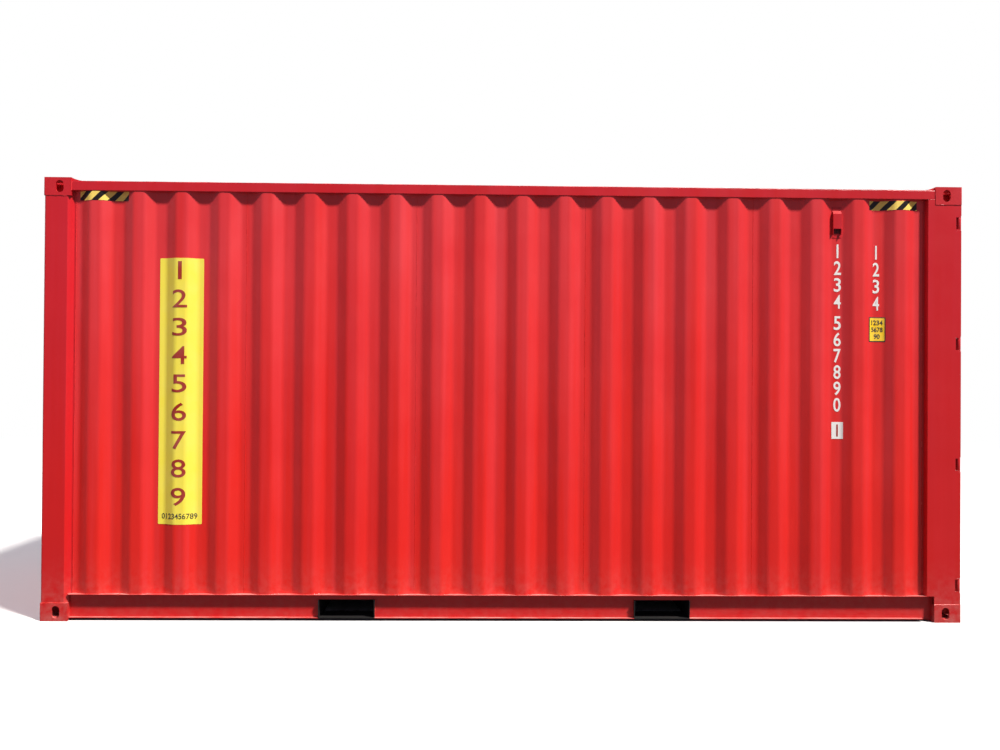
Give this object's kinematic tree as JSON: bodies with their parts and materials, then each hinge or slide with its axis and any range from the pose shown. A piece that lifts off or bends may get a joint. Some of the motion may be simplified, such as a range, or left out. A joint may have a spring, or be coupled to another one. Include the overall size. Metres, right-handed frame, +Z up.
{
  "type": "shipping container",
  "caption": "Steel freight box with corrugated walls, ribbed roof, corner fittings, fork pockets and swinging door leaves at one end.",
  "frame": {"origin": "on the ground, at the middle of the container's outline", "axes": "+X along the container towards the door end, +Y across it, +Z up"},
  "size_m": [6.058, 2.438, 2.896],
  "materials": {
    "red_paint": "semi-gloss",
    "zinc_steel": "galvanised",
    "seal_rubber": "matte",
    "plywood": "satin"
  },
  "bodies": {
    "root": {"fittings_front_bottom": "red_paint", "fittings_front_top": "red_paint", "fittings_door_bottom": "red_paint", "fittings_door_top": "red_paint", "front_post_left": "red_paint", "front_post_right": "red_paint", "door_post_left": "red_paint", "door_post_right": "red_paint", "bottom_rail_left": "red_paint", "bottom_rail_right": "red_paint", "top_rail_left": "red_paint", "top_rail_right": "red_paint", "front_sill": "red_paint", "front_header": "red_paint", "door_sill": "red_paint", "door_header": "red_paint", "cross_members": "red_paint", "fork_pocket_front": "red_paint", "fork_pocket_rear": "red_paint", "floor": "plywood", "side_wall_left": "red_paint", "side_wall_right": "red_paint", "front_wall": "red_paint", "roof": "red_paint", "roof_end_plates": "red_paint", "corner_plates": "red_paint", "ventilators": "red_paint", "hinge_lugs": "red_paint", "cam_keepers": "red_paint"},
    "leaf_left": {"leaf_frame_left": "red_paint", "leaf_panel_left": "red_paint", "leaf_gasket_left": "seal_rubber", "leaf_hinges_left": "red_paint", "lock_rods_left": "zinc_steel", "rod_brackets_left": "red_paint", "handles_left": "zinc_steel"},
    "leaf_right": {"leaf_frame_right": "red_paint", "leaf_panel_right": "red_paint", "leaf_gasket_right": "seal_rubber", "leaf_hinges_right": "red_paint", "lock_rods_right": "zinc_steel", "rod_brackets_right": "red_paint", "handles_right": "zinc_steel"}
  },
  "joints": [
    {"name": "leaf_left_swing", "type": "hinge", "parent": "root", "child": "leaf_left", "pos_m": [3.0155, -1.2025, 1.4505], "axis": [0, 0, -1], "range_deg": [0, 265]},
    {"name": "leaf_right_swing", "type": "hinge", "parent": "root", "child": "leaf_right", "pos_m": [3.0155, 1.2025, 1.4505], "axis": [0, 0, 1], "range_deg": [0, 265]}
  ]
}
